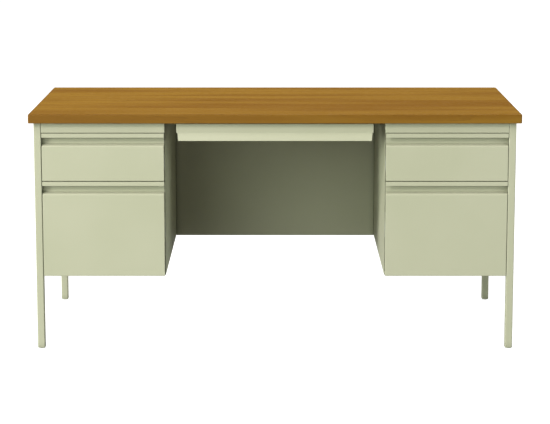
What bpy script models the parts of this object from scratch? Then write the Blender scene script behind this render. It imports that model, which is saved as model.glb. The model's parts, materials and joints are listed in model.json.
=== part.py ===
"""A double-pedestal steel teacher desk.

A laminate worktop stands on four square-tube legs. Each pedestal holds a box drawer over a file drawer, a
shallow centre drawer hangs under the worktop, and a modesty panel closes the back of the kneehole.

Metres, +Z up. The origin is on the floor under the middle of the worktop. The person at the desk sits
at -Y and looks along +Y, so -X is their left and +X their right.
"""

from math import cos, pi, radians, sin

import bmesh
import bpy
from mathutils import Vector

# Worktop
WIDTH = 1.524
DEPTH = 0.762
HEIGHT = 0.743
TOP_THICKNESS = 0.027
LAMINATE = 0.001
BACKER = 0.0008
EDGE_BAND = 0.002
CORNER_RADIUS = 0.005
CORNER_STEPS = 3
EDGE_ROUND = 0.0015

# Sheet steel and clearances
FIT = 0.0003
SHEET = 0.001
BEND = 0.0015
BEND_SEGMENTS = 2
BEND_ANGLE = 20
SHARP_ANGLE = 30

# Legs and their levelling glides
FRONT_OVERHANG = 0.016
REAR_OVERHANG = 0.006
SIDE_OVERHANG = 0.0155
LEG_WIDTH = 0.0225
LEG_DEPTH = 0.0275
LEG_WALL = 0.0015
LEG_RADIUS = 0.003
LEG_BOTTOM = 0.0035
INSERT_HEIGHT = 0.020
GLIDE_RADIUS = 0.0105
GLIDE_CHAMFER = 0.0010
GLIDE_SHOULDER = 0.0015
STEM_RADIUS = 0.003
STEM_TOP = 0.030
STEM_CLEARANCE = 0.0003
ROUND_SEGMENTS = 16

# Pedestals
PEDESTAL_BOTTOM = 0.2333
PEDESTAL_INNER = 0.342
CASE_SETBACK = 0.0012
PANEL_INSET = 0.002
SIDE_FLANGE = 0.014
END_FLANGE = 0.016
BACK_FLANGE = 0.012
FLOOR_RISE = 0.0127
RAIL_BOTTOM = 0.6847
RAIL_DEPTH = 0.016
MODESTY_FRONT = 0.329
MODESTY_FLANGE = 0.014

# Pedestal drawers
FRONT_GAP = 0.002
RAIL_GAP = 0.0015
DRAWER_SPLIT = 0.5329
FRONT_INNER = 0.344
FRONT_OUTER = 0.7228
PULL_LIP = 0.0133
PULL_BOTTOM = 0.0385
PULL_DEPTH = 0.016
PULL_ROUND = 0.003
PULL_RISE = 0.005
BOX_BODY = {"bottom": 0.542, "height": 0.115, "length": 0.640, "rim": 0.008, "slide": 0.587}
FILE_BODY = {"bottom": 0.249, "height": 0.258, "length": 0.660, "rim": 0.017, "slide": 0.377}
RIM_NOTCH = 0.004

# Drawer slides
SLIDE_LENGTH = 0.700
SLIDE_HEIGHT = 0.045
SLIDE_THICKNESS = 0.0127
SLIDE_SHEET = 0.0012
BALL_GAP = 0.0013
CASE_REACH = 0.0090
MIDDLE_START = 0.0020
MIDDLE_REACH = 0.0105

# Centre drawer
CENTRE_HALF_WIDTH = 0.305
CENTRE_TOP = 0.7135
CENTRE_STEP = 0.6845
CENTRE_LIP_BOTTOM = 0.6608
LIP_FLARE = 0.010
LIP_HALF_TOP = 0.3015
LIP_HALF_BOTTOM = 0.2990
LIP_RETURN = 0.006
CENTRE_RETURN = 0.012
CENTRE_BODY_HALF = 0.286
CENTRE_BODY_BOTTOM = 0.666
CENTRE_BODY_HEIGHT = 0.029
CENTRE_BODY_LENGTH = 0.480
CENTRE_RIM = 0.010
HANGER_HALF = 0.3025
HANGER_REACH = 0.013
HANGER_BOTTOM = 0.692
HANGER_LENGTH = 0.505
TRAY_HALF_WIDTH = 0.270
TRAY_DEPTH = 0.085
TRAY_HEIGHT = 0.018
TRAY_WALL = 0.0015

# Worked out from the sizes above
TOP_UNDERSIDE = HEIGHT - TOP_THICKNESS
FRAME_TOP = TOP_UNDERSIDE - FIT
FRONT_Y = -DEPTH / 2 + FRONT_OVERHANG
REAR_Y = DEPTH / 2 - REAR_OVERHANG
LEG_OUTER = WIDTH / 2 - SIDE_OVERHANG
LEG_INNER = LEG_OUTER - LEG_WIDTH
BODY_FRONT = FRONT_Y + PULL_DEPTH + SHEET + FIT
CASE_FRONT = BODY_FRONT + CASE_SETBACK
BOX_FRONT_BOTTOM = DRAWER_SPLIT + FRONT_GAP / 2
FILE_FRONT_TOP = DRAWER_SPLIT - FRONT_GAP / 2

# Finishes: colour, roughness, metallic
FINISHES = {
    "putty_paint": ((0.58, 0.58, 0.43), 0.45, 0.0),
    "oak_laminate": ((0.50, 0.25, 0.03), 0.45, 0.0),
    "oak_edging": ((0.24, 0.11, 0.02), 0.45, 0.0),
    "particleboard": ((0.45, 0.33, 0.20), 0.85, 0.0),
    "zinc_steel": ((0.55, 0.56, 0.57), 0.35, 1.0),
    "black_plastic": ((0.03, 0.03, 0.03), 0.50, 0.0),
    "natural_nylon": ((0.70, 0.69, 0.62), 0.45, 0.0),
}

# How a panel is turned so that its web looks each way, and which local side is then where
FACING = {
    "-Y": ((90, 0, 0), {"left": "x-", "right": "x+", "bottom": "y-", "top": "y+"}),
    "+Y": ((90, 0, 180), {"left": "x+", "right": "x-", "bottom": "y-", "top": "y+"}),
    "+X": ((90, 0, 90), {"front": "x-", "rear": "x+", "bottom": "y-", "top": "y+"}),
    "-X": ((90, 0, -90), {"front": "x+", "rear": "x-", "bottom": "y-", "top": "y+"}),
    "+Z": ((0, 0, 0), {"left": "x-", "right": "x+", "front": "y-", "rear": "y+"}),
    "-Z": ((180, 0, 0), {"left": "x-", "right": "x+", "front": "y+", "rear": "y-"}),
}


def clear_scene():
    for obj in list(bpy.data.objects):
        bpy.data.objects.remove(obj, do_unlink=True)


def finish_material(name, finish):
    colour, roughness, metallic = FINISHES[finish]
    material = bpy.data.materials.new(f"{name}_{finish}")
    material.use_nodes = True
    shader = material.node_tree.nodes["Principled BSDF"]
    shader.inputs["Base Color"].default_value = (*colour, 1.0)
    shader.inputs["Roughness"].default_value = roughness
    shader.inputs["Metallic"].default_value = metallic
    return material


def add_object(name, bm, finish, location=(0, 0, 0), rotation=(0, 0, 0), parent=None):
    """Turns a bmesh into a named object at a world location, riding on a parent empty if there is one."""
    bmesh.ops.recalc_face_normals(bm, faces=bm.faces)
    return add_sheet(name, bm, finish, location, rotation, parent)


def add_sheet(name, bm, finish, location=(0, 0, 0), rotation=(0, 0, 0), parent=None):
    """The same, but the faces keep the way they were made, for a sheet that gets its thickness later."""
    mesh = bpy.data.meshes.new(name)
    bm.to_mesh(mesh)
    bm.free()
    mesh.materials.append(finish_material(name, finish))
    obj = bpy.data.objects.new(name, mesh)
    bpy.context.scene.collection.objects.link(obj)
    obj.rotation_euler = [radians(angle) for angle in rotation]
    obj.location = location
    if parent:
        obj.parent = parent
        obj.location = Vector(location) - parent.location
    return obj


def add_empty(name, location):
    empty = bpy.data.objects.new(name, None)
    bpy.context.scene.collection.objects.link(empty)
    empty.location = location
    return empty


def fold_sheet(obj, thickness=SHEET):
    """Rounds the bends of an open surface, then gives it the sheet's thickness behind its outer face."""
    bevel = obj.modifiers.new("bends", "BEVEL")
    bevel.width = BEND
    bevel.segments = BEND_SEGMENTS
    bevel.limit_method = "ANGLE"
    bevel.angle_limit = radians(BEND_ANGLE)
    solidify = obj.modifiers.new("sheet", "SOLIDIFY")
    solidify.thickness = thickness
    solidify.offset = -1.0
    solidify.use_even_offset = True
    solidify.use_quality_normals = True


def drill(obj, bm):
    """Cuts a shape made in the object's own coordinates out of it."""
    cutter = add_object(f"{obj.name}_cutter", bm, "zinc_steel", obj.location)
    cutter.hide_render = True
    cutter.display_type = "WIRE"
    cut = obj.modifiers.new("bore", "BOOLEAN")
    cut.operation = "DIFFERENCE"
    cut.solver = "EXACT"
    cut.object = cutter


def smooth(obj):
    obj.data.shade_smooth()
    obj.data.set_sharp_from_angle(angle=radians(SHARP_ANGLE))


def prism(outline, axis, start, end):
    """A solid bar: a closed outline in the plane across an axis, swept straight along it."""
    place = {
        "Y": lambda a, b, along: (a, along, b),
        "Z": lambda a, b, along: (a, b, along),
    }[axis]
    bm = bmesh.new()
    base = bm.faces.new([bm.verts.new(place(a, b, start)) for a, b in outline])
    swept = bmesh.ops.extrude_face_region(bm, geom=[base])["geom"]
    corners = [item for item in swept if isinstance(item, bmesh.types.BMVert)]
    bmesh.ops.translate(bm, verts=corners, vec=Vector(place(0, 0, end - start)))
    return bm


def rounded_rectangle(half_x, half_y, radius):
    points = []
    for quarter, (sign_x, sign_y) in enumerate(((1, 1), (-1, 1), (-1, -1), (1, -1))):
        for step in range(CORNER_STEPS + 1):
            angle = (quarter + step / CORNER_STEPS) * pi / 2
            x = sign_x * (half_x - radius) + radius * cos(angle)
            y = sign_y * (half_y - radius) + radius * sin(angle)
            points.append((x, y))
    return points


def hollow_prism(outer, inner, bottom, top):
    """A tube or ring between two outlines with the same number of points, standing along Z."""
    bm = bmesh.new()
    loops = [
        [bm.verts.new((x, y, z)) for x, y in outline]
        for outline, z in ((outer, bottom), (outer, top), (inner, top), (inner, bottom))
    ]
    count = len(outer)
    for lower, upper in zip(loops, loops[1:] + loops[:1]):
        for i in range(count):
            j = (i + 1) % count
            bm.faces.new((lower[i], lower[j], upper[j], upper[i]))
    return bm


def turned(profile):
    """A solid of revolution about Z from (radius, height) pairs, closed by a flat disc at each end."""
    bm = bmesh.new()
    rings = []
    for radius, height in profile:
        angles = [2 * pi * i / ROUND_SEGMENTS for i in range(ROUND_SEGMENTS)]
        rings.append([bm.verts.new((radius * cos(a), radius * sin(a), height)) for a in angles])
    for lower, upper in zip(rings, rings[1:]):
        for i in range(ROUND_SEGMENTS):
            j = (i + 1) % ROUND_SEGMENTS
            bm.faces.new((lower[i], lower[j], upper[j], upper[i]))
    bm.faces.new(rings[0])
    bm.faces.new(rings[-1])
    return bm


def folded_panel(name, faces, low, high, folds, parent=None, finish="putty_paint", thickness=SHEET):
    """A flat web on one face of the box low-high, with flanges across the box along the named folds."""
    rotation, sides = FACING[faces]
    size = Vector(high) - Vector(low)
    location = (Vector(high) + Vector(low)) / 2
    normal = "XYZ".index(faces[1])
    location[normal] = high[normal] if faces[0] == "+" else low[normal]
    across = [size[axis] for axis in range(3) if axis != normal]
    flange = size[normal]

    bm = bmesh.new()
    signs = ((-1, -1), (1, -1), (1, 1), (-1, 1))
    web = [bm.verts.new((x * across[0] / 2, y * across[1] / 2, 0)) for x, y in signs]
    bm.faces.new(web)
    edge_of = {"y-": (0, 1), "x+": (1, 2), "y+": (2, 3), "x-": (3, 0)}
    folded = {}
    for fold in folds:
        first, second = edge_of[sides[fold]]
        for corner in (first, second):
            if corner not in folded:
                folded[corner] = bm.verts.new(web[corner].co - Vector((0, 0, flange)))
        bm.faces.new((web[second], web[first], folded[first], folded[second]))
    panel = add_sheet(name, bm, finish, location, rotation, parent)
    fold_sheet(panel, thickness)
    return panel


def worktop():
    """Particleboard core with a laminate face, a backing sheet and a band round its edge."""
    half_x = WIDTH / 2
    half_y = DEPTH / 2
    inset = EDGE_BAND + FIT
    board = rounded_rectangle(half_x - inset, half_y - inset, CORNER_RADIUS - EDGE_BAND)
    layers = (
        ("worktop_core", "particleboard", TOP_UNDERSIDE + BACKER + FIT, HEIGHT - LAMINATE - FIT),
        ("worktop_laminate", "oak_laminate", HEIGHT - LAMINATE, HEIGHT),
        ("worktop_backer", "particleboard", TOP_UNDERSIDE, TOP_UNDERSIDE + BACKER),
    )
    for name, finish, bottom, top in layers:
        add_object(name, prism(board, "Z", 0, top - bottom), finish, (0, 0, bottom))

    outer = rounded_rectangle(half_x, half_y, CORNER_RADIUS)
    inner = rounded_rectangle(half_x - EDGE_BAND, half_y - EDGE_BAND, CORNER_RADIUS - EDGE_BAND)
    bm = hollow_prism(outer, inner, 0, TOP_THICKNESS)
    rims = [
        edge
        for edge in bm.edges
        if abs(edge.verts[0].co.z - edge.verts[1].co.z) < FIT
        and all(is_on_outline(vert.co, outer) for vert in edge.verts)
    ]
    bmesh.ops.bevel(bm, geom=rims, offset=EDGE_ROUND, segments=2, affect="EDGES", profile=0.5)
    band = add_object("worktop_edge_band", bm, "oak_edging", (0, 0, TOP_UNDERSIDE))
    smooth(band)


def is_on_outline(point, outline):
    return any(abs(point.x - x) < FIT and abs(point.y - y) < FIT for x, y in outline)


def leg(name, x, y):
    """A square tube from floor to worktop, with a plug in its foot and a screw-in levelling glide."""
    half_x = LEG_WIDTH / 2
    half_y = LEG_DEPTH / 2
    outer = rounded_rectangle(half_x, half_y, LEG_RADIUS)
    inner = rounded_rectangle(half_x - LEG_WALL, half_y - LEG_WALL, LEG_RADIUS - LEG_WALL)
    tube = hollow_prism(outer, inner, 0, FRAME_TOP - LEG_BOTTOM)
    smooth(add_object(f"leg_{name}", tube, "putty_paint", (x, y, LEG_BOTTOM)))

    wall = LEG_WALL + FIT
    plug = rounded_rectangle(half_x - wall, half_y - wall, LEG_RADIUS - LEG_WALL)
    insert = add_object(
        f"leg_insert_{name}", prism(plug, "Z", 0, INSERT_HEIGHT), "natural_nylon", (x, y, LEG_BOTTOM)
    )
    bore = STEM_RADIUS + STEM_CLEARANCE
    drill(insert, turned(((bore, -FIT), (bore, INSERT_HEIGHT + FIT))))

    pad_top = LEG_BOTTOM - FIT
    profile = (
        (GLIDE_RADIUS - GLIDE_CHAMFER, 0.0),
        (GLIDE_RADIUS, GLIDE_CHAMFER),
        (GLIDE_RADIUS, pad_top - GLIDE_CHAMFER),
        (GLIDE_RADIUS - GLIDE_SHOULDER, pad_top),
        (STEM_RADIUS, pad_top),
        (STEM_RADIUS, STEM_TOP),
    )
    smooth(add_object(f"levelling_glide_{name}", turned(profile), "natural_nylon", (x, y, 0)))


def legs():
    x_centre = (LEG_OUTER + LEG_INNER) / 2
    for side, sign in (("left", -1), ("right", 1)):
        leg(f"front_{side}", sign * x_centre, FRONT_Y + LEG_DEPTH / 2)
        leg(f"rear_{side}", sign * x_centre, REAR_Y - LEG_DEPTH / 2)


def box_from(side, inner_x, outer_x):
    """The low and high X of a stretch given by its distances from the middle of the desk."""
    return (inner_x, outer_x) if side == "right" else (-outer_x, -inner_x)


def pedestal_shell(side):
    """The fixed sheet-steel case of one pedestal."""
    outward, inward = ("+X", "-X") if side == "right" else ("-X", "+X")
    inner_end, outer_end = ("left", "right") if side == "right" else ("right", "left")

    x0, x1 = box_from(side, LEG_OUTER - PANEL_INSET - END_FLANGE, LEG_OUTER - PANEL_INSET)
    low = (x0, FRONT_Y + LEG_DEPTH + FIT, PEDESTAL_BOTTOM)
    high = (x1, REAR_Y - LEG_DEPTH - FIT, FRAME_TOP)
    folded_panel(f"end_panel_{side}", outward, low, high, ("front", "rear", "bottom", "top"))

    x0, x1 = box_from(side, PEDESTAL_INNER, PEDESTAL_INNER + SIDE_FLANGE)
    low = (x0, CASE_FRONT, PEDESTAL_BOTTOM)
    high = (x1, REAR_Y, FRAME_TOP)
    folded_panel(f"inner_side_panel_{side}", inward, low, high, ("rear", "bottom", "top"))

    nest = SHEET + FIT
    x0, x1 = box_from(side, PEDESTAL_INNER + nest, LEG_INNER - FIT)
    low = (x0, REAR_Y - nest - BACK_FLANGE, PEDESTAL_BOTTOM + nest)
    high = (x1, REAR_Y - nest, FRAME_TOP - nest)
    folded_panel(f"pedestal_back_{side}", "+Y", low, high, ("bottom", "top"))

    low = (x0, CASE_FRONT, PEDESTAL_BOTTOM + nest)
    high = (x1, REAR_Y - nest - BACK_FLANGE - FIT, PEDESTAL_BOTTOM + FLOOR_RISE)
    folded_panel(f"pedestal_floor_{side}", "+Z", low, high, ("front", "rear", "left", "right"))

    x0, x1 = box_from(side, PEDESTAL_INNER, LEG_INNER - FIT)
    low = (x0, FRONT_Y, RAIL_BOTTOM)
    high = (x1, FRONT_Y + RAIL_DEPTH, FRAME_TOP)
    folded_panel(f"top_rail_{side}", "-Y", low, high, ("bottom", "top", inner_end))


def modesty_panel():
    half = PEDESTAL_INNER - FIT
    low = (-half, MODESTY_FRONT, PEDESTAL_BOTTOM)
    high = (half, MODESTY_FRONT + MODESTY_FLANGE, FRAME_TOP)
    folded_panel("modesty_panel", "-Y", low, high, ("left", "right", "bottom", "top"))


def channel_outline(wall_x, toward, height, reach, sheet, centre_z):
    """A C section in the XZ plane: its web stands at wall_x and its flanges reach towards +X or -X."""
    half = height / 2
    web = wall_x + toward * sheet
    tip = wall_x + toward * reach
    return [
        (wall_x, centre_z - half),
        (tip, centre_z - half),
        (tip, centre_z - half + sheet),
        (web, centre_z - half + sheet),
        (web, centre_z + half - sheet),
        (tip, centre_z + half - sheet),
        (tip, centre_z + half),
        (wall_x, centre_z + half),
    ]


def slide_set(drawer, wall, wall_x, toward, body, drawer_empty, middle_empty):
    """One drawer slide between a fixed wall and the drawer: two members, or three at full extension."""
    z = body["slide"]
    start = wall_x + toward * FIT
    drawer_side = start + toward * SLIDE_THICKNESS
    case = channel_outline(start, toward, SLIDE_HEIGHT, CASE_REACH, SLIDE_SHEET, z)
    bar = prism(case, "Y", CASE_FRONT, CASE_FRONT + SLIDE_LENGTH)
    add_object(f"slide_case_{drawer}_{wall}", bar, "zinc_steel")

    inside = SLIDE_HEIGHT - 2 * (SLIDE_SHEET + BALL_GAP)
    end = BODY_FRONT + body["length"]
    if middle_empty:
        reach = MIDDLE_REACH - MIDDLE_START
        middle = channel_outline(start + toward * MIDDLE_START, toward, inside, reach, SHEET, z)
        bar = prism(middle, "Y", CASE_FRONT, end)
        slider = add_object(f"slide_middle_{drawer}_{wall}", bar, "zinc_steel")
        ride_on(slider, middle_empty)
        inside -= 2 * (SHEET + BALL_GAP)
        reach = SLIDE_THICKNESS - MIDDLE_START - SHEET - BALL_GAP
    else:
        reach = SLIDE_THICKNESS - SLIDE_SHEET - BALL_GAP
    member = channel_outline(drawer_side, -toward, inside, reach, SHEET, z)
    bar = prism(member, "Y", CASE_FRONT, end)
    runner = add_object(f"slide_runner_{drawer}_{wall}", bar, "zinc_steel")
    ride_on(runner, drawer_empty)


def ride_on(obj, empty):
    """Hangs a piece made in world coordinates on an empty without moving it."""
    obj.parent = empty
    obj.location = obj.location - empty.location


def drawer_tub(name, low, high, rim, turn, parent):
    """A drawer body folded from one blank. Its side walls end in rims, turned in (1) or out (-1)."""
    bm = bmesh.new()
    (x0, y0, z0), (x1, y1, z1) = low, high
    plan = ((x0, y0), (x1, y0), (x1, y1), (x0, y1))
    floor = [bm.verts.new((x, y, z0)) for x, y in plan]
    top = [bm.verts.new((x, y, z1)) for x, y in plan]
    bm.faces.new(reversed(floor))
    bm.faces.new((floor[0], floor[1], top[1], top[0]))
    bm.faces.new((floor[2], floor[3], top[3], top[2]))
    for first, second, inward in ((1, 2, -1), (3, 0, 1)):
        along = (top[second].co - top[first].co).normalized() * RIM_NOTCH
        near = bm.verts.new(top[first].co + along)
        far = bm.verts.new(top[second].co - along)
        bm.faces.new((floor[first], floor[second], top[second], far, near, top[first]))
        across = Vector((inward * turn * rim, 0, 0))
        rim_far = bm.verts.new(far.co + across)
        rim_near = bm.verts.new(near.co + across)
        bm.faces.new((near, far, rim_far, rim_near))
    bmesh.ops.translate(bm, verts=bm.verts, vec=-parent.location)
    tub = add_sheet(name, bm, "putty_paint", parent.location, parent=parent)
    fold_sheet(tub)


def pull_front(name, width, height, location, parent):
    """A drawer front with a full-width pull: under its lip, the sheet slopes back into a pocket."""
    ledge = height - PULL_BOTTOM
    ceiling = height - SHEET
    lip = height - PULL_LIP
    strip = (
        (0, 0),
        (0, ledge - PULL_ROUND),
        (PULL_ROUND, ledge),
        (PULL_DEPTH, ledge + PULL_RISE),
        (PULL_DEPTH, ceiling),
        (SHEET, ceiling),
        (SHEET, lip),
    )
    bm = bmesh.new()
    left = [bm.verts.new((-width / 2, y, z)) for y, z in strip]
    right = [bm.verts.new((width / 2, y, z)) for y, z in strip]
    for i in range(len(strip) - 1):
        bm.faces.new((left[i], right[i], right[i + 1], left[i + 1]))
    left_heel = bm.verts.new((-width / 2, PULL_DEPTH, 0))
    right_heel = bm.verts.new((width / 2, PULL_DEPTH, 0))
    bm.faces.new((left_heel, right_heel, right[0], left[0]))
    bm.faces.new((left_heel, left[0], left[1], left[2], left[3]))
    bm.faces.new((right[0], right_heel, right[3], right[2], right[1]))
    fold_sheet(add_sheet(name, bm, "putty_paint", location, parent=parent))


def pedestal_drawer(side, kind, body, front_bottom, front_top, full_extension):
    """One drawer of a pedestal with its front and both of its slides."""
    name = f"{kind}_{side}"
    x0, x1 = box_from(side, FRONT_INNER, FRONT_OUTER)
    middle_x = (x0 + x1) / 2
    empty = add_empty(f"{name}_drawer_axis", (middle_x, FRONT_Y, body["slide"]))
    middle_empty = None
    if full_extension:
        middle_empty = add_empty(f"{name}_middle_axis", (middle_x, FRONT_Y, body["slide"]))

    front_place = (middle_x, FRONT_Y, front_bottom)
    pull_front(f"drawer_front_{name}", x1 - x0, front_top - front_bottom, front_place, empty)

    slide_room = SLIDE_THICKNESS + 2 * FIT
    inner_wall = PEDESTAL_INNER + SHEET
    x0, x1 = box_from(side, inner_wall + slide_room, LEG_INNER - slide_room)
    low = (x0, BODY_FRONT, body["bottom"])
    high = (x1, BODY_FRONT + body["length"], body["bottom"] + body["height"])
    drawer_tub(f"drawer_body_{name}", low, high, body["rim"], 1, empty)

    sign = 1 if side == "right" else -1
    slide_set(name, "inner", sign * inner_wall, sign, body, empty, middle_empty)
    slide_set(name, "outer", sign * LEG_INNER, -sign, body, empty, middle_empty)


def centre_front(parent):
    """The centre drawer's front: a shallow pan whose lower edge flares forward as a finger lip."""
    bm = bmesh.new()
    half = CENTRE_HALF_WIDTH
    height = CENTRE_TOP - CENTRE_STEP
    drop = CENTRE_LIP_BOTTOM - CENTRE_STEP
    face = [bm.verts.new((x, 0, z)) for x, z in ((-half, 0), (half, 0), (half, height), (-half, height))]
    heel = [bm.verts.new(vert.co + Vector((0, CENTRE_RETURN, 0))) for vert in face]
    root_left = bm.verts.new((-LIP_HALF_TOP, 0, 0))
    root_right = bm.verts.new((LIP_HALF_TOP, 0, 0))
    tip_left = bm.verts.new((-LIP_HALF_BOTTOM, -LIP_FLARE, drop))
    tip_right = bm.verts.new((LIP_HALF_BOTTOM, -LIP_FLARE, drop))
    back_left = bm.verts.new((-LIP_HALF_BOTTOM, LIP_RETURN - LIP_FLARE, drop))
    back_right = bm.verts.new((LIP_HALF_BOTTOM, LIP_RETURN - LIP_FLARE, drop))
    bm.faces.new((face[0], root_left, root_right, face[1], face[2], face[3]))
    bm.faces.new((face[1], heel[1], heel[2], face[2]))
    bm.faces.new((face[2], heel[2], heel[3], face[3]))
    bm.faces.new((face[3], heel[3], heel[0], face[0]))
    bm.faces.new((root_right, root_left, tip_left, tip_right))
    bm.faces.new((tip_right, tip_left, back_left, back_right))
    place = (0, FRONT_Y, CENTRE_STEP)
    fold_sheet(add_sheet("drawer_front_centre", bm, "putty_paint", place, parent=parent))


def centre_drawer():
    """A shallow drawer whose outward rims run in two channels screwed under the worktop."""
    empty = add_empty("centre_drawer_axis", (0, FRONT_Y, CENTRE_BODY_BOTTOM))
    centre_front(empty)

    half = CENTRE_BODY_HALF
    front = FRONT_Y + CENTRE_RETURN + FIT
    rim_z = CENTRE_BODY_BOTTOM + CENTRE_BODY_HEIGHT
    low = (-half, front, CENTRE_BODY_BOTTOM)
    drawer_tub("drawer_body_centre", low, (half, front + CENTRE_BODY_LENGTH, rim_z), CENTRE_RIM, -1, empty)

    tray_front = front + SHEET + BEND
    tray_bottom = CENTRE_BODY_BOTTOM + SHEET + FIT
    low = (-TRAY_HALF_WIDTH, tray_front, tray_bottom)
    high = (TRAY_HALF_WIDTH, tray_front + TRAY_DEPTH, tray_bottom + TRAY_HEIGHT)
    sides = ("front", "rear", "left", "right")
    folded_panel("pencil_tray", "-Z", low, high, sides, empty, "black_plastic", TRAY_WALL)

    height = FRAME_TOP - HANGER_BOTTOM
    z = (FRAME_TOP + HANGER_BOTTOM) / 2
    start = front + FIT
    for side, sign in (("left", -1), ("right", 1)):
        outline = channel_outline(sign * HANGER_HALF, -sign, height, HANGER_REACH, SHEET, z)
        bar = prism(outline, "Y", start, start + HANGER_LENGTH)
        add_object(f"centre_drawer_hanger_{side}", bar, "zinc_steel")


def main():
    clear_scene()
    worktop()
    legs()
    modesty_panel()
    for side in ("left", "right"):
        pedestal_shell(side)
        pedestal_drawer(side, "box", BOX_BODY, BOX_FRONT_BOTTOM, RAIL_BOTTOM - RAIL_GAP, False)
        pedestal_drawer(side, "file", FILE_BODY, PEDESTAL_BOTTOM, FILE_FRONT_TOP, True)
    centre_drawer()


main()
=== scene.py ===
"""Looks for the steel teacher desk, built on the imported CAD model.

Metres, +Z up. The person at the desk sits at -Y and looks along +Y.
"""

import json
from math import cos, pi, radians, sin, tan

import bmesh
import bpy
from mathutils import Matrix, Vector

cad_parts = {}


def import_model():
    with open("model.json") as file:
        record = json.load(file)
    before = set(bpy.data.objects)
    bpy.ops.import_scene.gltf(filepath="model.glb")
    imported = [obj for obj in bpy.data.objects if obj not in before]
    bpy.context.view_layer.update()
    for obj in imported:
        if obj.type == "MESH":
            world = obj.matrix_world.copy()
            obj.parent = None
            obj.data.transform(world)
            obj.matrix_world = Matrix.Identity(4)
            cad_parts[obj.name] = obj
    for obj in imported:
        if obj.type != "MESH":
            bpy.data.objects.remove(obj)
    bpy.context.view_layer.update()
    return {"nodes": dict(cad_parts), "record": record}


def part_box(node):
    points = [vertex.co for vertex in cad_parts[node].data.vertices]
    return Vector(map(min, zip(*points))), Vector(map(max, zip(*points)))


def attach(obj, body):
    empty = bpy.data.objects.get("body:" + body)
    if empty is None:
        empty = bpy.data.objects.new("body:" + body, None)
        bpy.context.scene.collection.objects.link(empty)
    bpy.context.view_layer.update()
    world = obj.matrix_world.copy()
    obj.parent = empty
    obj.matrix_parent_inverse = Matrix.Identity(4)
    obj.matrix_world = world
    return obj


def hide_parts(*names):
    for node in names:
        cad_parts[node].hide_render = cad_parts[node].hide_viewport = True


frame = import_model()
nodes = frame["nodes"]

# Camera
CAMERA_PLACE = (0.0, -6.512, 1.514)
CAMERA_TILT = 80.06
CAMERA_LENS = 131.26
CAMERA_SENSOR = 36.0

# Round soft lights, all aimed at one place. Each has a name, a colour, its watts per square metre
# there, and an azimuth, elevation and spread in degrees.
AIM = (0.0, -0.2, 0.45)
LIGHT_DISTANCE = 14.0
LIGHTS = (
    ("key", (1.0, 0.965, 1.0), 1.77, -44.0, 32.0, 12.0),
    ("high_front", (1.0, 1.0, 1.0), 1.28, -15.0, 66.0, 22.0),
    ("low_front", (0.91, 1.0, 0.89), 0.84, -22.0, 11.0, 30.0),
    ("low_side", (0.93, 1.0, 0.93), 2.10, -61.0, 6.0, 14.0),
    ("fill", (0.9, 1.0, 0.92), 1.00, 67.0, 6.0, 20.0),
    ("rear_left", (1.0, 1.0, 1.0), 1.15, -120.0, 20.0, 24.0),
    ("rear_right", (1.0, 1.0, 1.0), 1.55, 120.0, 20.0, 24.0),
    ("rear_high", (1.0, 1.0, 1.0), 0.35, 180.0, 52.0, 24.0),
)

# Studio floor
FLOOR_RADIUS = 60.0
FLOOR_SEGMENTS = 96
FLOOR_TONES = (0.28, 0.34)
FLOOR_GLOW = 1.0

# CAD surfaces: reach of the weld, width of a broken edge, and angles in degrees
WELD_REACH = 2e-5
FLAT_ANGLE = 0.5
BROKEN_EDGE = 0.00025
BROKEN_ANGLE = 50

# Screws, with a radius and a head height for each kind
SHEET = 0.001
FRAME_SCREW = (0.0042, 0.0020)
DRAWER_SCREW = (0.0040, 0.0018)
RUNNER_SCREW = (0.0036, 0.0011)
SCREW_SINK = 0.0003
SCREW_SEGMENTS = 28
HEAD_ANGLES = (12, 30, 48, 64, 78)
HEAD_SQUARENESS = 0.6
CROSS_ARM = 0.58
CROSS_WIDTH = 0.13
CROSS_TOP = 1.2
CROSS_FLOOR = 0.35
CROSS_TAPER = 0.75
SCREW_TURN = 37

# Places of the screws along the part that they hold, or in from its edge
MODESTY_SCREW_INSET = 0.0062
MODESTY_SCREW_PROUD = 0.00001
MODESTY_SIDE_LIFTS = (0.055, 0.235, 0.415)
MODESTY_TOP_ROW = (-0.24, 0.0, 0.24)
BACK_SCREW_LIFT = 0.030
BACK_SCREW_DROP = 0.040
BACK_SCREW_INSET = 0.010
PEDESTAL_ROW = (-0.300, -0.050, 0.200)
FRONT_SCREW_SPREAD = 0.125
FRONT_SCREW_LIFTS = {"box": (0.030, 0.088), "file": (0.040, 0.125, 0.215)}
RUNNER_ROW = (0.045, 0.270, 0.520)
CENTRE_ROW = (-0.245, 0.0, 0.245)
CENTRE_LIFT = 0.021

# Pencil tray
TRAY_WALL = 0.0015
RIB_PLACES = (("left", -0.115), ("right", 0.115))
RIB_HALF = 0.0009
RIB_DROP = 0.0035
RIB_DIP = 0.0035
RIB_STEPS = 12

# Levelling glides, with roundings as steps in from the rim and away from the face
GLIDE_SEGMENTS = 72
GLIDE_PAD = 0.0032
GLIDE_DISH = 0.0003
GLIDE_FOOT_ROUND = ((0.0014, 0.0), (0.0005, 0.0004), (0.0, 0.0012))
GLIDE_RIM_ROUND = ((0.0, 0.0014), (0.0006, 0.0004), (0.0016, 0.0))
STEM_FOOT_RADIUS = 0.0031
STEM_RADIUS = 0.0030
STEM_END_RADIUS = 0.0024
STEM_CHAMFER = 0.0006
FLUTE_SPACING = 3
FLUTE_DEPTH = 0.0004
FLUTE_REACH = 0.0002

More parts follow.
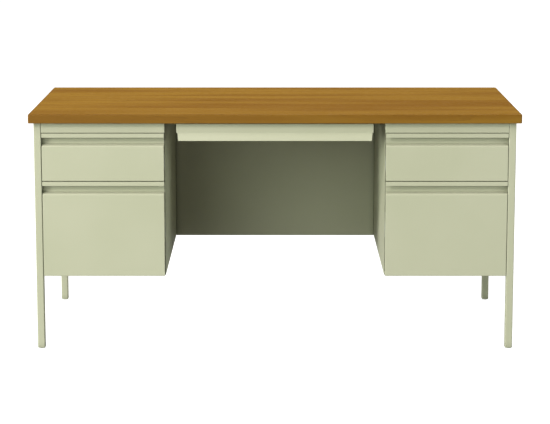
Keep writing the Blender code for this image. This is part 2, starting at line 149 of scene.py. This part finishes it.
# Finishes
PUTTY = (0.448, 0.444, 0.318)
PUTTY_DEEP = (0.429, 0.428, 0.300)
PUTTY_WORN = (0.50, 0.50, 0.37)
# Painted shade: the dark tint that the paint turns to in recesses, corners and under overhangs, how far
# it reaches and how strong it gets at most
PUTTY_PAINTED_SHADE = (0.170, 0.175, 0.110)
PAINTED_SHADE_REACH = 0.022
PAINTED_SHADE_MOST = 0.65
WEAR_RADIUS = 0.0012
OAK_LIGHT = (0.415, 0.217, 0.023)
OAK_DEEP = (0.290, 0.128, 0.0085)
OAK_PORE = (0.155, 0.062, 0.004)
EDGING_TONE = 0.65
GRAIN_SHIFT = (0.0, 0.27, 0.0)
RING_COUNT = 17.0
CHIP_DARK = (0.36, 0.25, 0.145)
CHIP_LIGHT = (0.52, 0.39, 0.245)
CHIP_STAIN = (0.30, 0.20, 0.115)
ZINC_DULL = (0.50, 0.51, 0.53)
ZINC_BRIGHT = (0.62, 0.63, 0.64)
ZINC_LINE = (0.42, 0.43, 0.45)
BLACK = (0.030, 0.030, 0.031)
BLACK_DEEP = (0.020, 0.020, 0.021)
NYLON = (0.70, 0.69, 0.62)
NYLON_DEEP = (0.64, 0.63, 0.56)

# Inputs of Blender's mix node that share one name
COLOUR_A = 6
COLOUR_B = 7
VECTOR_A = 4
VECTOR_B = 5


def camera():
    """Looks straight at the drawer side of the desk, from above the worktop's height."""
    data = bpy.data.cameras.new("camera")
    data.lens = CAMERA_LENS
    data.sensor_width = CAMERA_SENSOR
    obj = bpy.data.objects.new("camera", data)
    obj.location = CAMERA_PLACE
    obj.rotation_euler = (radians(CAMERA_TILT), 0, 0)
    bpy.context.scene.collection.objects.link(obj)
    bpy.context.scene.camera = obj


def soft_light(name, colour, strength, azimuth, elevation, spread):
    """A disk of light far from the desk, unseen by the camera."""
    a, e = radians(azimuth), radians(elevation)
    back = Vector((sin(a) * cos(e), -cos(a) * cos(e), sin(e)))
    data = bpy.data.lights.new(name, "AREA")
    data.shape = "DISK"
    data.size = 2 * LIGHT_DISTANCE * tan(radians(spread / 2))
    data.energy = strength * pi * LIGHT_DISTANCE**2
    data.color = colour
    obj = bpy.data.objects.new(name, data)
    obj.location = Vector(AIM) + back * LIGHT_DISTANCE
    obj.rotation_euler = (-back).to_track_quat("-Z", "Y").to_euler()
    obj.visible_camera = False
    bpy.context.scene.collection.objects.link(obj)


class Graph:
    """A node material being put together."""

    def __init__(self, name):
        self.material = bpy.data.materials.new(name)
        self.material.use_nodes = True
        self.tree = self.material.node_tree
        self.shader = self.tree.nodes["Principled BSDF"]

    def add(self, kind, inputs=(), **settings):
        node = self.tree.nodes.new(kind)
        for key, value in settings.items():
            setattr(node, key, value)
        for key, value in dict(inputs).items():
            self.feed(node, key, value)
        return node

    def feed(self, node, key, value):
        socket = node.inputs[key]
        if isinstance(value, bpy.types.NodeSocket):
            self.tree.links.new(value, socket)
        elif isinstance(value, (tuple, list)) and len(value) == 3 and socket.type == "RGBA":
            socket.default_value = (*value, 1.0)
        else:
            socket.default_value = value

    def set(self, **values):
        for key, value in values.items():
            self.feed(self.shader, key.replace("_", " "), value)

    def position(self):
        return self.add("ShaderNodeTexCoord").outputs["Object"]

    def scaled(self, vector, scale):
        return self.add("ShaderNodeMapping", {"Vector": vector, "Scale": scale}).outputs[0]

    def noise(self, vector, scale, detail=2.0, roughness=0.5, distortion=0.0):
        values = {"Vector": vector, "Scale": scale, "Detail": detail, "Roughness": roughness}
        values["Distortion"] = distortion
        return self.add("ShaderNodeTexNoise", values).outputs[0]

    def streaks(self, vector, along, across, detail=2.0, roughness=0.5, distortion=0.0):
        """Noise drawn out along X: its scale is along in X, and across in Y and Z."""
        stretched = self.scaled(vector, (along, across, across))
        return self.noise(stretched, 1.0, detail, roughness, distortion)

    def math(self, operation, first, second=0.5):
        return self.add("ShaderNodeMath", {0: first, 1: second}, operation=operation).outputs[0]

    def ramp(self, value, low, high, out_low=0.0, out_high=1.0):
        values = {"Value": value, "From Min": low, "From Max": high}
        values.update({"To Min": out_low, "To Max": out_high})
        return self.add("ShaderNodeMapRange", values, interpolation_type="SMOOTHSTEP").outputs[0]

    def mix(self, amount, first, second):
        values = {"Factor": amount, COLOUR_A: first, COLOUR_B: second}
        return self.add("ShaderNodeMix", values, data_type="RGBA").outputs[2]

    def bump(self, height, strength, distance, normal=None):
        values = {"Height": height, "Strength": strength, "Distance": distance}
        if normal is not None:
            values["Normal"] = normal
        return self.add("ShaderNodeBump", values).outputs[0]


def putty_paint():
    """Satin powder coat with faint mottling, orange peel, painted shade in its recesses and polished
    edges.
    """
    g = Graph("putty_powder_coat")
    at = g.position()
    mottle = g.noise(at, 2.6, 3.0, 0.55)
    colour = g.mix(g.ramp(mottle, 0.35, 0.65), PUTTY_DEEP, PUTTY)
    grain = g.noise(at, 950.0, 1.0)
    colour = g.mix(g.ramp(grain, 0.3, 0.7, 0.0, 0.10), colour, PUTTY_DEEP)
    # Painted shade: an ambient occlusion mask darkens the paint towards a dark tint in recesses, corners
    # and under overhangs
    open_sky = g.add("ShaderNodeAmbientOcclusion", {"Distance": PAINTED_SHADE_REACH}, samples=4).outputs["AO"]
    colour = g.mix(g.ramp(open_sky, 0.40, 0.95, PAINTED_SHADE_MOST, 0.0), colour, PUTTY_PAINTED_SHADE)
    worn = g.add("ShaderNodeBevel", {"Radius": WEAR_RADIUS}, samples=4).outputs[0]
    flat = g.add("ShaderNodeNewGeometry").outputs["Normal"]
    edge = g.add("ShaderNodeVectorMath", {0: worn, 1: flat}, operation="DOT_PRODUCT").outputs["Value"]
    edge = g.ramp(edge, 0.80, 0.99, 1.0, 0.0)
    colour = g.mix(g.math("MULTIPLY", edge, 0.10), colour, PUTTY_WORN)
    rough = g.ramp(g.noise(at, 38.0, 2.0), 0.3, 0.7, 0.50, 0.58)
    rough = g.math("SUBTRACT", rough, g.math("MULTIPLY", edge, 0.05))
    peel = g.noise(at, 420.0, 1.5, 0.45)
    waves = g.noise(g.scaled(at, (1.0, 1.0, 0.7)), 4.5, 1.0)
    normal = g.bump(waves, 0.04, 0.004)
    normal = g.bump(peel, 0.10, 0.0003, normal)
    g.set(Base_Color=colour, Roughness=rough, Normal=normal, IOR=1.45, Specular_IOR_Level=0.35)
    return g.material


def oak_print(name, tone):
    """Oak-grain print under a fine satin texture.

    The grain runs along X, and along Y on the end faces. GRAIN_SHIFT picks the stretch of pattern
    that the worktop shows.
    """
    g = Graph(name)
    light, deep, pore = (
        tuple(tone * part for part in colour) for colour in (OAK_LIGHT, OAK_DEEP, OAK_PORE)
    )
    at = g.position()
    split = g.add("ShaderNodeSeparateXYZ", {0: at}).outputs
    normals = g.add("ShaderNodeTexCoord").outputs["Normal"]
    facing = g.add("ShaderNodeSeparateXYZ", {0: normals}).outputs["X"]
    turned = g.math("GREATER_THAN", g.math("ABSOLUTE", facing), 0.7)
    axes = {"X": split["Y"], "Y": split["X"], "Z": split["Z"]}
    swapped = g.add("ShaderNodeCombineXYZ", axes).outputs[0]
    values = {"Factor": turned, VECTOR_A: at, VECTOR_B: swapped}
    chosen = g.add("ShaderNodeMix", values, data_type="VECTOR").outputs[1]
    shifted = {0: chosen, 1: GRAIN_SHIFT}
    along = g.add("ShaderNodeVectorMath", shifted, operation="ADD").outputs[0]

    bands = g.streaks(along, 0.9, 13.0)
    tint = g.streaks(along, 2.5, 40.0, 3.0, 0.6)
    field = g.streaks(along, 0.75, 5.5, 1.0, 0.4, 0.15)
    wobble = g.streaks(along, 8.0, 120.0)
    growth = g.math("ADD", g.math("MULTIPLY", field, RING_COUNT), g.math("MULTIPLY", wobble, 0.30))
    rings = g.math("FRACT", growth, 0.0)
    early = g.ramp(rings, 0.55, 1.0)
    specks = g.ramp(g.streaks(along, 26.0, 1300.0, 1.0), 0.56, 0.68)
    pores = g.math("MULTIPLY", specks, g.math("ADD", g.math("MULTIPLY", early, 0.75), 0.25))
    fibre = g.streaks(along, 9.0, 520.0, 2.0, 0.6)

    colour = g.mix(g.ramp(bands, 0.36, 0.66), light, deep)
    colour = g.mix(g.ramp(tint, 0.35, 0.75, 0.0, 0.45), colour, deep)
    colour = g.mix(g.math("MULTIPLY", early, 0.28), colour, deep)
    colour = g.mix(g.ramp(fibre, 0.3, 0.7, 0.0, 0.16), colour, deep)
    colour = g.mix(g.math("MULTIPLY", pores, 0.55), colour, pore)
    rough = g.ramp(g.noise(at, 60.0, 2.0), 0.3, 0.7, 0.44, 0.54)
    rough = g.math("ADD", rough, g.math("MULTIPLY", pores, 0.08))
    skin = g.noise(at, 700.0, 1.0)
    normal = g.bump(g.math("SUBTRACT", skin, g.math("MULTIPLY", pores, 0.8)), 0.14, 0.0002)
    g.set(Base_Color=colour, Roughness=rough, Normal=normal, IOR=1.45, Specular_IOR_Level=0.25)
    return g.material


def particleboard():
    """Pressed wood chips, seen where the board's underside shows through its thin backing sheet."""
    g = Graph("pressed_board")
    at = g.position()
    cells = g.add("ShaderNodeTexVoronoi", {"Vector": g.scaled(at, (1.0, 2.2, 1.0)), "Scale": 330.0})
    chip = g.add("ShaderNodeSeparateColor", {0: cells.outputs["Color"]}).outputs[0]
    colour = g.mix(chip, CHIP_DARK, CHIP_LIGHT)
    colour = g.mix(g.ramp(g.noise(at, 5.0, 3.0), 0.35, 0.7, 0.0, 0.3), colour, CHIP_STAIN)
    normal = g.bump(g.noise(at, 520.0, 2.0), 0.25, 0.0003)
    rough = g.ramp(chip, 0.0, 1.0, 0.72, 0.88)
    g.set(Base_Color=colour, Roughness=rough, Normal=normal)
    return g.material


def zinc_steel():
    """Bright zinc plate on rolled steel: long rolling lines and cloudy patches."""
    g = Graph("zinc_plate")
    at = g.position()
    lines = g.noise(g.scaled(at, (900.0, 6.0, 900.0)), 1.0, 2.0, 0.6)
    cloud = g.noise(at, 30.0, 3.0, 0.6)
    colour = g.mix(g.ramp(cloud, 0.35, 0.65), ZINC_DULL, ZINC_BRIGHT)
    colour = g.mix(g.ramp(lines, 0.3, 0.7, 0.0, 0.25), colour, ZINC_LINE)
    rough = g.math("ADD", g.ramp(cloud, 0.3, 0.7, 0.26, 0.36), g.math("MULTIPLY", lines, 0.10))
    normal = g.bump(lines, 0.10, 0.0002)
    g.set(Base_Color=colour, Roughness=rough, Normal=normal, Metallic=1.0)
    return g.material


def moulded_plastic(name, colour, deep):
    """A moulded plastic with the fine texture of a spark-eroded mould."""
    g = Graph(name)
    at = g.position()
    tone = g.mix(g.ramp(g.noise(at, 70.0, 2.0), 0.35, 0.65), deep, colour)
    rough = g.ramp(g.noise(at, 260.0, 2.0), 0.3, 0.7, 0.46, 0.60)
    normal = g.bump(g.noise(at, 1500.0, 1.0), 0.30, 0.0002)
    g.set(Base_Color=tone, Roughness=rough, Normal=normal)
    return g.material


FINISH = {
    "putty_paint": putty_paint(),
    "oak_laminate": oak_print("oak_grain_laminate", 1.0),
    "oak_edging": oak_print("oak_grain_edging", EDGING_TONE),
    "particleboard": particleboard(),
    "zinc_steel": zinc_steel(),
    "black_plastic": moulded_plastic("black_moulding", BLACK, BLACK_DEEP),
    "natural_nylon": moulded_plastic("nylon_moulding", NYLON, NYLON_DEEP),
}


def refine(obj):
    """Joins the CAD triangles into clean faces, breaks the cut edges and shades the bends smoothly."""
    for polygon in obj.data.polygons:
        polygon.use_smooth = True
    weld = obj.modifiers.new("weld", "WELD")
    weld.merge_threshold = WELD_REACH
    flat = obj.modifiers.new("flat", "DECIMATE")
    flat.decimate_type = "DISSOLVE"
    flat.angle_limit = radians(FLAT_ANGLE)
    edges = obj.modifiers.new("edges", "BEVEL")
    edges.width = BROKEN_EDGE
    edges.segments = 2
    edges.limit_method = "ANGLE"
    edges.angle_limit = radians(BROKEN_ANGLE)
    edges.use_clamp_overlap = True
    shade = obj.modifiers.new("shade", "WEIGHTED_NORMAL")
    shade.weight = 100
    shade.keep_sharp = False


def dress_frame():
    """Gives every CAD node the finish of its material slot."""
    slots = {part["node"]: part["material_slot"] for part in frame["record"]["subparts"]}
    for name, obj in nodes.items():
        obj.data.materials.clear()
        obj.data.materials.append(FINISH[slots[name]])
        refine(obj)


def piece(name, bm, slot, body, smooth=40):
    """Turns a bmesh into a named piece with a finish that rides on a body.

    Faces that meet at less than smooth degrees are shaded as one.
    """
    bmesh.ops.recalc_face_normals(bm, faces=bm.faces)
    mesh = bpy.data.meshes.new(name)
    bm.to_mesh(mesh)
    bm.free()
    mesh.materials.append(FINISH[slot])
    mesh.shade_smooth()
    mesh.set_sharp_from_angle(angle=radians(smooth))
    obj = bpy.data.objects.new(name, mesh)
    bpy.context.scene.collection.objects.link(obj)
    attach(obj, body)
    return obj


def circle(bm, radius, height, segments):
    """Adds a ring of vertices about Z to bm."""
    angles = [2 * pi * i / segments for i in range(segments)]
    return [bm.verts.new((radius * cos(a), radius * sin(a), height)) for a in angles]


def lathe(profile, segments):
    """A closed solid of revolution about Z from (radius, height) pairs that start and end on the axis."""
    bm = bmesh.new()
    rings = []
    for radius, height in profile:
        if radius == 0:
            rings.append([bm.verts.new((0, 0, height))] * segments)
        else:
            rings.append(circle(bm, radius, height, segments))
    for lower, upper in zip(rings, rings[1:]):
        for i in range(segments):
            j = (i + 1) % segments
            corners = []
            for vert in (lower[i], lower[j], upper[j], upper[i]):
                if vert not in corners:
                    corners.append(vert)
            bm.faces.new(corners)
    return bm


def tapered_bar(bm, half_x, half_y, top, bottom, shrink):
    """Adds a box to bm whose lower end is smaller than its upper end."""
    loops = []
    for z, scale in ((top, 1.0), (bottom, shrink)):
        corners = ((-1, -1), (1, -1), (1, 1), (-1, 1))
        loops.append([bm.verts.new((x * half_x * scale, y * half_y * scale, z)) for x, y in corners])
    upper, lower = loops
    bm.faces.new(upper)
    bm.faces.new(reversed(lower))
    for i in range(4):
        j = (i + 1) % 4
        bm.faces.new((lower[i], lower[j], upper[j], upper[i]))


def cut(solid, tools):
    """A new mesh: one bmesh with others taken out of it."""
    objects = []
    for bm in (solid, *tools):
        bmesh.ops.recalc_face_normals(bm, faces=bm.faces)
        mesh = bpy.data.meshes.new("blank")
        bm.to_mesh(mesh)
        bm.free()
        obj = bpy.data.objects.new("blank", mesh)
        bpy.context.scene.collection.objects.link(obj)
        objects.append(obj)
    body, *cutters = objects
    for cutter in cutters:
        modifier = body.modifiers.new("cut", "BOOLEAN")
        modifier.operation = "DIFFERENCE"
        modifier.solver = "EXACT"
        modifier.object = cutter
    graph = bpy.context.evaluated_depsgraph_get()
    result = bpy.data.meshes.new_from_object(body.evaluated_get(graph))
    for obj in objects:
        bpy.data.objects.remove(obj, do_unlink=True)
    return result


def screw_mesh(radius, height):
    """A pan-head screw with a cross recess, standing on the XY plane."""
    profile = [(0, -SCREW_SINK), (radius, -SCREW_SINK), (radius, 0)]
    for degrees in HEAD_ANGLES:
        turn = radians(degrees)
        profile.append((radius * cos(turn) ** HEAD_SQUARENESS, height * sin(turn)))
    head = lathe([*profile, (0, height)], SCREW_SEGMENTS)
    bars = []
    for half_x, half_y in ((CROSS_ARM, CROSS_WIDTH), (CROSS_WIDTH, CROSS_ARM)):
        bar = bmesh.new()
        top = height * CROSS_TOP
        bottom = height * CROSS_FLOOR
        tapered_bar(bar, half_x * radius, half_y * radius, top, bottom, CROSS_TAPER)
        bars.append(bar)
    return cut(head, bars)


def scatter(name, mesh, places, slot, body):
    """One piece made of copies of a screw, each at a place, facing an axis and at its own turn."""
    bm = bmesh.new()
    for index, (place, axis) in enumerate(places):
        first = len(bm.verts)
        bm.from_mesh(mesh)
        bm.verts.ensure_lookup_table()
        spin = Matrix.Rotation(radians(SCREW_TURN * index % 90), 4, "Z")
        turn = Vector(axis).to_track_quat("Z", "Y").to_matrix().to_4x4()
        stand = Matrix.Translation(place) @ turn @ spin
        bmesh.ops.transform(bm, matrix=stand, verts=bm.verts[first:])
    return piece(name, bm, slot, body)


def frame_screws():
    """Screws that hold the modesty panel, the pedestal backs, the floors and the worktop."""
    screw = screw_mesh(*FRAME_SCREW)
    low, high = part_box("modesty_panel")
    y = high.y - MODESTY_SCREW_INSET
    places = [
        ((x - sign * (SHEET + MODESTY_SCREW_PROUD), y, low.z + lift), (-sign, 0, 0))
        for x, sign in ((high.x, 1), (low.x, -1))
        for lift in MODESTY_SIDE_LIFTS
    ]
    places += [((x, y, high.z - SHEET), (0, 0, -1)) for x in MODESTY_TOP_ROW]
    scatter("modesty_screws", screw, places, "zinc_steel", "desk")
    for side, sign in (("left", -1), ("right", 1)):
        low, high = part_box(f"inner_side_panel_{side}")
        x = (low.x + high.x) / 2
        heights = (low.z + BACK_SCREW_LIFT, (low.z + high.z) / 2, high.z - BACK_SCREW_DROP)
        back_low, back_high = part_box(f"pedestal_back_{side}")
        outer = (back_high.x if sign > 0 else back_low.x) - sign * BACK_SCREW_INSET
        places = [((x, high.y, z), (0, 1, 0)) for z in heights]
        places += [((outer, back_high.y, z), (0, 1, 0)) for z in heights]
        scatter(f"pedestal_back_screws_{side}", screw, places, "putty_paint", "desk")
        places = [((x, y, low.z), (0, 0, -1)) for y in PEDESTAL_ROW]
        places += [((x, y, high.z - SHEET), (0, 0, -1)) for y in PEDESTAL_ROW]
        scatter(f"pedestal_screws_{side}", screw, places, "zinc_steel", "desk")


def runner_screws(screw, name, body, middle):
    """Screws that fasten a drawer's two slide runners, facing the drawer's middle."""
    for wall in ("inner", "outer"):
        low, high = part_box(f"slide_runner_{name}_{wall}")
        towards = 1 if abs(high.x - middle) > abs(low.x - middle) else -1
        web = (low.x if towards > 0 else high.x) + towards * SHEET
        z = (low.z + high.z) / 2
        places = [((web, low.y + along, z), (towards, 0, 0)) for along in RUNNER_ROW]
        scatter(f"runner_screws_{name}_{wall}", screw, places, "zinc_steel", body)


def drawer_screws():
    """Screws inside each drawer that hold its front, and the ones that fasten its slide runners."""
    round_screw = screw_mesh(*DRAWER_SCREW)
    flat_screw = screw_mesh(*RUNNER_SCREW)
    for side in ("left", "right"):
        for kind, lifts in FRONT_SCREW_LIFTS.items():
            name = f"{kind}_{side}"
            body = f"{kind}_drawer_{side}"
            low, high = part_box(f"drawer_body_{name}")
            middle = (low.x + high.x) / 2
            inside = low.y + SHEET
            places = [
                ((middle + x, inside, low.z + lift), (0, 1, 0))
                for x in (-FRONT_SCREW_SPREAD, FRONT_SCREW_SPREAD)
                for lift in lifts
            ]
            scatter(f"front_screws_{name}", round_screw, places, "zinc_steel", body)
            runner_screws(flat_screw, name, body, middle)
    low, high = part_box("drawer_body_centre")
    places = [((x, low.y + SHEET, low.z + CENTRE_LIFT), (0, 1, 0)) for x in CENTRE_ROW]
    scatter("front_screws_centre", flat_screw, places, "zinc_steel", "centre_drawer")


def tray_ribs():
    """Moulded ribs with a dipped top edge, which divide the pencil tray into compartments."""
    low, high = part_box("pencil_tray")
    floor_z = low.z + TRAY_WALL
    front = low.y + TRAY_WALL
    rear = high.y - TRAY_WALL
    outline = [(front, floor_z), (rear, floor_z)]
    for step in range(RIB_STEPS + 1):
        share = step / RIB_STEPS
        dip = RIB_DIP * sin(pi * share)
        outline.append((rear + (front - rear) * share, high.z - RIB_DROP - dip))
    for name, x in RIB_PLACES:
        bm = bmesh.new()
        near = [bm.verts.new((x - RIB_HALF, y, z)) for y, z in outline]
        far = [bm.verts.new((x + RIB_HALF, y, z)) for y, z in outline]
        bm.faces.new(near)
        bm.faces.new(reversed(far))
        for i in range(len(outline)):
            j = (i + 1) % len(outline)
            bm.faces.new((near[i], near[j], far[j], far[i]))
        piece(f"tray_rib_{name}", bm, "black_plastic", "centre_drawer")


def glide_profile(radius, top):
    """(radius, height) pairs of a glide: its rounded pad, then its stem."""
    rim = GLIDE_PAD - GLIDE_DISH
    profile = [(0, 0.0)]
    profile += [(radius - inset, lift) for inset, lift in GLIDE_FOOT_ROUND]
    profile += [(radius - inset, rim - drop) for inset, drop in GLIDE_RIM_ROUND]
    profile += [(STEM_FOOT_RADIUS, rim), (STEM_RADIUS, rim + GLIDE_DISH)]
    profile += [(STEM_RADIUS, top - STEM_CHAMFER), (STEM_END_RADIUS, top), (0, top)]
    return profile


def flute(bm, radius):
    """Draws every third line of the rim inwards, which leaves ribs to grip."""
    for vert in bm.verts:
        flat = Vector((vert.co.x, vert.co.y))
        if flat.length > radius - FLUTE_REACH:
            turn = flat.angle_signed(Vector((1, 0))) % (2 * pi)
            if round(turn / (2 * pi) * GLIDE_SEGMENTS) % FLUTE_SPACING == 0:
                vert.co.x *= 1 - FLUTE_DEPTH / radius
                vert.co.y *= 1 - FLUTE_DEPTH / radius


def glides():
    """Levelling glides with a ribbed rim, in place of the plain turned ones."""
    for end in ("front", "rear"):
        for side in ("left", "right"):
            name = f"{end}_{side}"
            low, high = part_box(f"levelling_glide_{name}")
            centre = (low + high) / 2
            radius = (high.x - low.x) / 2
            bm = lathe(glide_profile(radius, high.z), GLIDE_SEGMENTS)
            flute(bm, radius)
            bmesh.ops.translate(bm, verts=bm.verts, vec=(centre.x, centre.y, 0))
            glide = piece(f"glide_{name}", bm, "natural_nylon", f"glide_{name}", smooth=25)
            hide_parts(f"levelling_glide_{name}")


def floor_material():
    """A pale matt studio floor that glows to the eye, so that the desk's shadow on it stays faint."""
    g = Graph("studio_floor")
    cloud = g.add("ShaderNodeTexNoise", {"Scale": 0.6}).outputs[0]
    values = {"Value": cloud, "To Min": FLOOR_TONES[0], "To Max": FLOOR_TONES[1]}
    tone = g.add("ShaderNodeMapRange", values).outputs[0]
    g.set(Base_Color=tone, Roughness=0.9, Specular_IOR_Level=0.1)
    matt = g.shader.outputs[0]
    glow = g.add("ShaderNodeEmission", {"Strength": FLOOR_GLOW}).outputs[0]
    both = g.add("ShaderNodeAddShader", {0: matt, 1: glow}).outputs[0]
    seen = g.add("ShaderNodeLightPath").outputs["Is Camera Ray"]
    surface = g.add("ShaderNodeMixShader", {0: seen, 1: matt, 2: both}).outputs[0]
    g.tree.links.new(surface, g.tree.nodes["Material Output"].inputs["Surface"])
    return g.material


def floor():
    """A wide round studio floor."""
    bm = bmesh.new()
    bm.faces.new(circle(bm, FLOOR_RADIUS, 0, FLOOR_SEGMENTS))
    mesh = bpy.data.meshes.new("studio_floor")
    bm.to_mesh(mesh)
    bm.free()
    mesh.materials.append(floor_material())
    obj = bpy.data.objects.new("studio_floor", mesh)
    bpy.context.scene.collection.objects.link(obj)


def world():
    """Studio surroundings: white to the eye, without any light of their own on the desk."""
    shade = bpy.data.worlds.new("studio")
    shade.use_nodes = True
    tree = shade.node_tree
    background = tree.nodes["Background"]
    background.inputs["Color"].default_value = (1.0, 1.0, 1.0, 1.0)
    path = tree.nodes.new("ShaderNodeLightPath")
    tree.links.new(path.outputs["Is Camera Ray"], background.inputs["Strength"])
    bpy.context.scene.world = shade


camera()
bpy.context.scene.view_settings.view_transform = "Standard"
world()
for light in LIGHTS:
    soft_light(*light)
floor()
dress_frame()
frame_screws()
drawer_screws()
tray_ribs()
glides()
